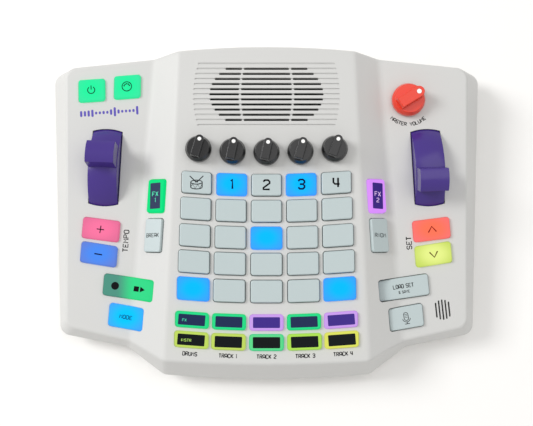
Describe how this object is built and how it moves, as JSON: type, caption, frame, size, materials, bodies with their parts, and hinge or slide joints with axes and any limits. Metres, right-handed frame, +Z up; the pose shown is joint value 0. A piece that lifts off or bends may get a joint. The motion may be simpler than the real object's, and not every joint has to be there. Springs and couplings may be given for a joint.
{
  "type": "electronic drum pad",
  "caption": "Table-top electronic drum pad and beat maker: stepped tilted case with a grid of light-up pads, track keys, pointer knobs, rocking levers and a speaker grille.",
  "frame": {"origin": "on the table, below the middle of the case's bounding box", "axes": "+X to the player's right, +Y away from the player, +Z up"},
  "size_m": [0.3398, 0.2554, 0.0652],
  "materials": {
    "case_shell": "fine matte texture",
    "case_base": "fine matte texture",
    "key_clear": "translucent satin, unlit",
    "key_blue": "translucent satin, lit blue",
    "key_mint": "translucent satin, lit mint",
    "key_pink": "translucent satin, lit pink",
    "key_periwinkle": "translucent satin, lit periwinkle",
    "key_green": "translucent satin, lit green",
    "key_cyan": "translucent satin, lit cyan",
    "key_coral": "translucent satin, lit coral",
    "key_lime": "translucent satin, lit lime",
    "key_fx_green": "translucent satin, lit green round a dark window",
    "key_fx_lilac": "translucent satin, lit lilac round a dark window",
    "track_key_green": "translucent satin frames round dark windows",
    "track_key_lime": "translucent satin frames round dark windows",
    "knob_black": "satin",
    "knob_red": "satin",
    "lever_purple": "semi-gloss",
    "speaker_black": "paper cone and steel basket",
    "board_green": "solder-masked glass fibre board",
    "switch_black": "moulded",
    "component_black": "moulded",
    "pot_metal": "plain",
    "cell_wrap": "shrink sleeve",
    "foot_rubber": "matte",
    "screw_steel": "plain"
  },
  "bodies": {
    "case": {"top_case": "case_shell", "bottom_case": "case_base", "battery_door": "case_base", "battery_cells": "cell_wrap", "speaker_driver": "speaker_black", "circuit_boards": "board_green", "key_switches": "switch_black", "board_components": "component_black", "potentiometers": "pot_metal", "rubber_feet": "foot_rubber", "case_screws": "screw_steel"},
    "pad_1_1": {"pad_1_1": "key_clear"},
    "pad_1_2": {"pad_1_2": "key_blue"},
    "pad_1_3": {"pad_1_3": "key_clear"},
    "pad_1_4": {"pad_1_4": "key_blue"},
    "pad_1_5": {"pad_1_5": "key_clear"},
    "pad_2_1": {"pad_2_1": "key_clear"},
    "pad_2_2": {"pad_2_2": "key_clear"},
    "pad_2_3": {"pad_2_3": "key_clear"},
    "pad_2_4": {"pad_2_4": "key_clear"},
    "pad_2_5": {"pad_2_5": "key_clear"},
    "pad_3_1": {"pad_3_1": "key_clear"},
    "pad_3_2": {"pad_3_2": "key_clear"},
    "pad_3_3": {"pad_3_3": "key_blue"},
    "pad_3_4": {"pad_3_4": "key_clear"},
    "pad_3_5": {"pad_3_5": "key_clear"},
    "pad_4_1": {"pad_4_1": "key_clear"},
    "pad_4_2": {"pad_4_2": "key_clear"},
    "pad_4_3": {"pad_4_3": "key_clear"},
    "pad_4_4": {"pad_4_4": "key_clear"},
    "pad_4_5": {"pad_4_5": "key_clear"},
    "pad_5_1": {"pad_5_1": "key_blue"},
    "pad_5_2": {"pad_5_2": "key_clear"},
    "pad_5_3": {"pad_5_3": "key_clear"},
    "pad_5_4": {"pad_5_4": "key_clear"},
    "pad_5_5": {"pad_5_5": "key_blue"},
    "power_key": {"power_key": "key_mint"},
    "midi_key": {"midi_key": "key_mint"},
    "tempo_up_key": {"tempo_up_key": "key_pink"},
    "tempo_down_key": {"tempo_down_key": "key_periwinkle"},
    "record_play_key": {"record_play_key": "key_green"},
    "mode_key": {"mode_key": "key_cyan"},
    "set_up_key": {"set_up_key": "key_coral"},
    "set_down_key": {"set_down_key": "key_lime"},
    "load_key": {"load_key": "key_clear"},
    "mic_key": {"mic_key": "key_clear"},
    "fx_1_key": {"fx_1_key": "key_fx_green"},
    "fx_2_key": {"fx_2_key": "key_fx_lilac"},
    "freak_key": {"freak_key": "key_clear"},
    "random_key": {"random_key": "key_clear"},
    "fx_key_row": {"fx_key_row": "track_key_green"},
    "instrument_key_row": {"instrument_key_row": "track_key_lime"},
    "knob_1": {"knob_1": "knob_black"},
    "knob_2": {"knob_2": "knob_black"},
    "knob_3": {"knob_3": "knob_black"},
    "knob_4": {"knob_4": "knob_black"},
    "knob_5": {"knob_5": "knob_black"},
    "volume_knob": {"volume_knob": "knob_red"},
    "left_lever": {"left_lever": "lever_purple"},
    "right_lever": {"right_lever": "lever_purple"}
  },
  "joints": [
    {"name": "pad_1_1_press", "type": "slide", "parent": "case", "child": "pad_1_1", "axis": [0, 0.0698, -0.9976], "range_m": [0, 0.001], "stiffness_N_per_m": 300, "springref_m": -0.0005},
    {"name": "pad_1_2_press", "type": "slide", "parent": "case", "child": "pad_1_2", "axis": [0, 0.0698, -0.9976], "range_m": [0, 0.001], "stiffness_N_per_m": 300, "springref_m": -0.0005},
    {"name": "pad_1_3_press", "type": "slide", "parent": "case", "child": "pad_1_3", "axis": [0, 0.0698, -0.9976], "range_m": [0, 0.001], "stiffness_N_per_m": 300, "springref_m": -0.0005},
    {"name": "pad_1_4_press", "type": "slide", "parent": "case", "child": "pad_1_4", "axis": [0, 0.0698, -0.9976], "range_m": [0, 0.001], "stiffness_N_per_m": 300, "springref_m": -0.0005},
    {"name": "pad_1_5_press", "type": "slide", "parent": "case", "child": "pad_1_5", "axis": [0, 0.0698, -0.9976], "range_m": [0, 0.001], "stiffness_N_per_m": 300, "springref_m": -0.0005},
    {"name": "pad_2_1_press", "type": "slide", "parent": "case", "child": "pad_2_1", "axis": [0, 0.0698, -0.9976], "range_m": [0, 0.001], "stiffness_N_per_m": 300, "springref_m": -0.0005},
    {"name": "pad_2_2_press", "type": "slide", "parent": "case", "child": "pad_2_2", "axis": [0, 0.0698, -0.9976], "range_m": [0, 0.001], "stiffness_N_per_m": 300, "springref_m": -0.0005},
    {"name": "pad_2_3_press", "type": "slide", "parent": "case", "child": "pad_2_3", "axis": [0, 0.0698, -0.9976], "range_m": [0, 0.001], "stiffness_N_per_m": 300, "springref_m": -0.0005},
    {"name": "pad_2_4_press", "type": "slide", "parent": "case", "child": "pad_2_4", "axis": [0, 0.0698, -0.9976], "range_m": [0, 0.001], "stiffness_N_per_m": 300, "springref_m": -0.0005},
    {"name": "pad_2_5_press", "type": "slide", "parent": "case", "child": "pad_2_5", "axis": [0, 0.0698, -0.9976], "range_m": [0, 0.001], "stiffness_N_per_m": 300, "springref_m": -0.0005},
    {"name": "pad_3_1_press", "type": "slide", "parent": "case", "child": "pad_3_1", "axis": [0, 0.0698, -0.9976], "range_m": [0, 0.001], "stiffness_N_per_m": 300, "springref_m": -0.0005},
    {"name": "pad_3_2_press", "type": "slide", "parent": "case", "child": "pad_3_2", "axis": [0, 0.0698, -0.9976], "range_m": [0, 0.001], "stiffness_N_per_m": 300, "springref_m": -0.0005},
    {"name": "pad_3_3_press", "type": "slide", "parent": "case", "child": "pad_3_3", "axis": [0, 0.0698, -0.9976], "range_m": [0, 0.001], "stiffness_N_per_m": 300, "springref_m": -0.0005},
    {"name": "pad_3_4_press", "type": "slide", "parent": "case", "child": "pad_3_4", "axis": [0, 0.0698, -0.9976], "range_m": [0, 0.001], "stiffness_N_per_m": 300, "springref_m": -0.0005},
    {"name": "pad_3_5_press", "type": "slide", "parent": "case", "child": "pad_3_5", "axis": [0, 0.0698, -0.9976], "range_m": [0, 0.001], "stiffness_N_per_m": 300, "springref_m": -0.0005},
    {"name": "pad_4_1_press", "type": "slide", "parent": "case", "child": "pad_4_1", "axis": [0, 0.0698, -0.9976], "range_m": [0, 0.001], "stiffness_N_per_m": 300, "springref_m": -0.0005},
    {"name": "pad_4_2_press", "type": "slide", "parent": "case", "child": "pad_4_2", "axis": [0, 0.0698, -0.9976], "range_m": [0, 0.001], "stiffness_N_per_m": 300, "springref_m": -0.0005},
    {"name": "pad_4_3_press", "type": "slide", "parent": "case", "child": "pad_4_3", "axis": [0, 0.0698, -0.9976], "range_m": [0, 0.001], "stiffness_N_per_m": 300, "springref_m": -0.0005},
    {"name": "pad_4_4_press", "type": "slide", "parent": "case", "child": "pad_4_4", "axis": [0, 0.0698, -0.9976], "range_m": [0, 0.001], "stiffness_N_per_m": 300, "springref_m": -0.0005},
    {"name": "pad_4_5_press", "type": "slide", "parent": "case", "child": "pad_4_5", "axis": [0, 0.0698, -0.9976], "range_m": [0, 0.001], "stiffness_N_per_m": 300, "springref_m": -0.0005},
    {"name": "pad_5_1_press", "type": "slide", "parent": "case", "child": "pad_5_1", "axis": [0, 0.0698, -0.9976], "range_m": [0, 0.001], "stiffness_N_per_m": 300, "springref_m": -0.0005},
    {"name": "pad_5_2_press", "type": "slide", "parent": "case", "child": "pad_5_2", "axis": [0, 0.0698, -0.9976], "range_m": [0, 0.001], "stiffness_N_per_m": 300, "springref_m": -0.0005},
    {"name": "pad_5_3_press", "type": "slide", "parent": "case", "child": "pad_5_3", "axis": [0, 0.0698, -0.9976], "range_m": [0, 0.001], "stiffness_N_per_m": 300, "springref_m": -0.0005},
    {"name": "pad_5_4_press", "type": "slide", "parent": "case", "child": "pad_5_4", "axis": [0, 0.0698, -0.9976], "range_m": [0, 0.001], "stiffness_N_per_m": 300, "springref_m": -0.0005},
    {"name": "pad_5_5_press", "type": "slide", "parent": "case", "child": "pad_5_5", "axis": [0, 0.0698, -0.9976], "range_m": [0, 0.001], "stiffness_N_per_m": 300, "springref_m": -0.0005},
    {"name": "power_key_press", "type": "slide", "parent": "case", "child": "power_key", "axis": [0, 0.0872, -0.9962], "range_m": [0, 0.001], "stiffness_N_per_m": 300, "springref_m": -0.0005},
    {"name": "midi_key_press", "type": "slide", "parent": "case", "child": "midi_key", "axis": [0, 0.0872, -0.9962], "range_m": [0, 0.001], "stiffness_N_per_m": 300, "springref_m": -0.0005},
    {"name": "tempo_up_key_press", "type": "slide", "parent": "case", "child": "tempo_up_key", "axis": [0, 0.0872, -0.9962], "range_m": [0, 0.001], "stiffness_N_per_m": 300, "springref_m": -0.0005},
    {"name": "tempo_down_key_press", "type": "slide", "parent": "case", "child": "tempo_down_key", "axis": [0, 0.0872, -0.9962], "range_m": [0, 0.001], "stiffness_N_per_m": 300, "springref_m": -0.0005},
    {"name": "record_play_key_press", "type": "slide", "parent": "case", "child": "record_play_key", "axis": [0, 0.0872, -0.9962], "range_m": [0, 0.001], "stiffness_N_per_m": 300, "springref_m": -0.0005},
    {"name": "mode_key_press", "type": "slide", "parent": "case", "child": "mode_key", "axis": [0, 0.0872, -0.9962], "range_m": [0, 0.001], "stiffness_N_per_m": 300, "springref_m": -0.0005},
    {"name": "set_up_key_press", "type": "slide", "parent": "case", "child": "set_up_key", "axis": [0, 0.0872, -0.9962], "range_m": [0, 0.001], "stiffness_N_per_m": 300, "springref_m": -0.0005},
    {"name": "set_down_key_press", "type": "slide", "parent": "case", "child": "set_down_key", "axis": [0, 0.0872, -0.9962], "range_m": [0, 0.001], "stiffness_N_per_m": 300, "springref_m": -0.0005},
    {"name": "load_key_press", "type": "slide", "parent": "case", "child": "load_key", "axis": [0, 0.0872, -0.9962], "range_m": [0, 0.001], "stiffness_N_per_m": 300, "springref_m": -0.0005},
    {"name": "mic_key_press", "type": "slide", "parent": "case", "child": "mic_key", "axis": [0, 0.0872, -0.9962], "range_m": [0, 0.001], "stiffness_N_per_m": 300, "springref_m": -0.0005},
    {"name": "fx_1_key_press", "type": "slide", "parent": "case", "child": "fx_1_key", "axis": [0.4467, 0.0479, -0.8934], "range_m": [0, 0.001], "stiffness_N_per_m": 300, "springref_m": -0.0005},
    {"name": "fx_2_key_press", "type": "slide", "parent": "case", "child": "fx_2_key", "axis": [-0.4467, 0.0479, -0.8934], "range_m": [0, 0.001], "stiffness_N_per_m": 300, "springref_m": -0.0005},
    {"name": "freak_key_press", "type": "slide", "parent": "case", "child": "freak_key", "axis": [0.4467, 0.0479, -0.8934], "range_m": [0, 0.001], "stiffness_N_per_m": 300, "springref_m": -0.0005},
    {"name": "random_key_press", "type": "slide", "parent": "case", "child": "random_key", "axis": [-0.4467, 0.0479, -0.8934], "range_m": [0, 0.001], "stiffness_N_per_m": 300, "springref_m": -0.0005},
    {"name": "fx_key_row_press", "type": "slide", "parent": "case", "child": "fx_key_row", "axis": [0, 0.0698, -0.9976], "range_m": [0, 0.001], "stiffness_N_per_m": 300, "springref_m": -0.0005},
    {"name": "instrument_key_row_press", "type": "slide", "parent": "case", "child": "instrument_key_row", "axis": [0, 0.0698, -0.9976], "range_m": [0, 0.001], "stiffness_N_per_m": 300, "springref_m": -0.0005},
    {"name": "knob_1_turn", "type": "hinge", "parent": "case", "child": "knob_1", "pos_m": [-0.0502, 0.0393, 0.05125], "axis": [0, -0.0698, 0.9976], "range_deg": [-134, 166]},
    {"name": "knob_2_turn", "type": "hinge", "parent": "case", "child": "knob_2", "pos_m": [-0.025, 0.03741, 0.05112], "axis": [0, -0.0698, 0.9976], "range_deg": [-138, 162]},
    {"name": "knob_3_turn", "type": "hinge", "parent": "case", "child": "knob_3", "pos_m": [0, 0.03681, 0.05107], "axis": [0, -0.0698, 0.9976], "range_deg": [-138, 162]},
    {"name": "knob_4_turn", "type": "hinge", "parent": "case", "child": "knob_4", "pos_m": [0.025, 0.03741, 0.05112], "axis": [0, -0.0698, 0.9976], "range_deg": [-134, 166]},
    {"name": "knob_5_turn", "type": "hinge", "parent": "case", "child": "knob_5", "pos_m": [0.0502, 0.0393, 0.05125], "axis": [0, -0.0698, 0.9976], "range_deg": [-130, 170]},
    {"name": "volume_knob_turn", "type": "hinge", "parent": "case", "child": "volume_knob", "pos_m": [0.1076, 0.08009, 0.04371], "axis": [0, -0.0872, 0.9962], "range_deg": [-92, 208]},
    {"name": "left_lever_rock", "type": "hinge", "parent": "case", "child": "left_lever", "pos_m": [-0.1215, 0.03132, 0.01033], "axis": [0.9992, -0.04, -0.0035], "range_deg": [-12.5, 31.5]},
    {"name": "right_lever_rock", "type": "hinge", "parent": "case", "child": "right_lever", "pos_m": [0.1215, 0.03132, 0.01033], "axis": [0.9992, 0.04, 0.0035], "range_deg": [-36.2, 7.8]}
  ]
}
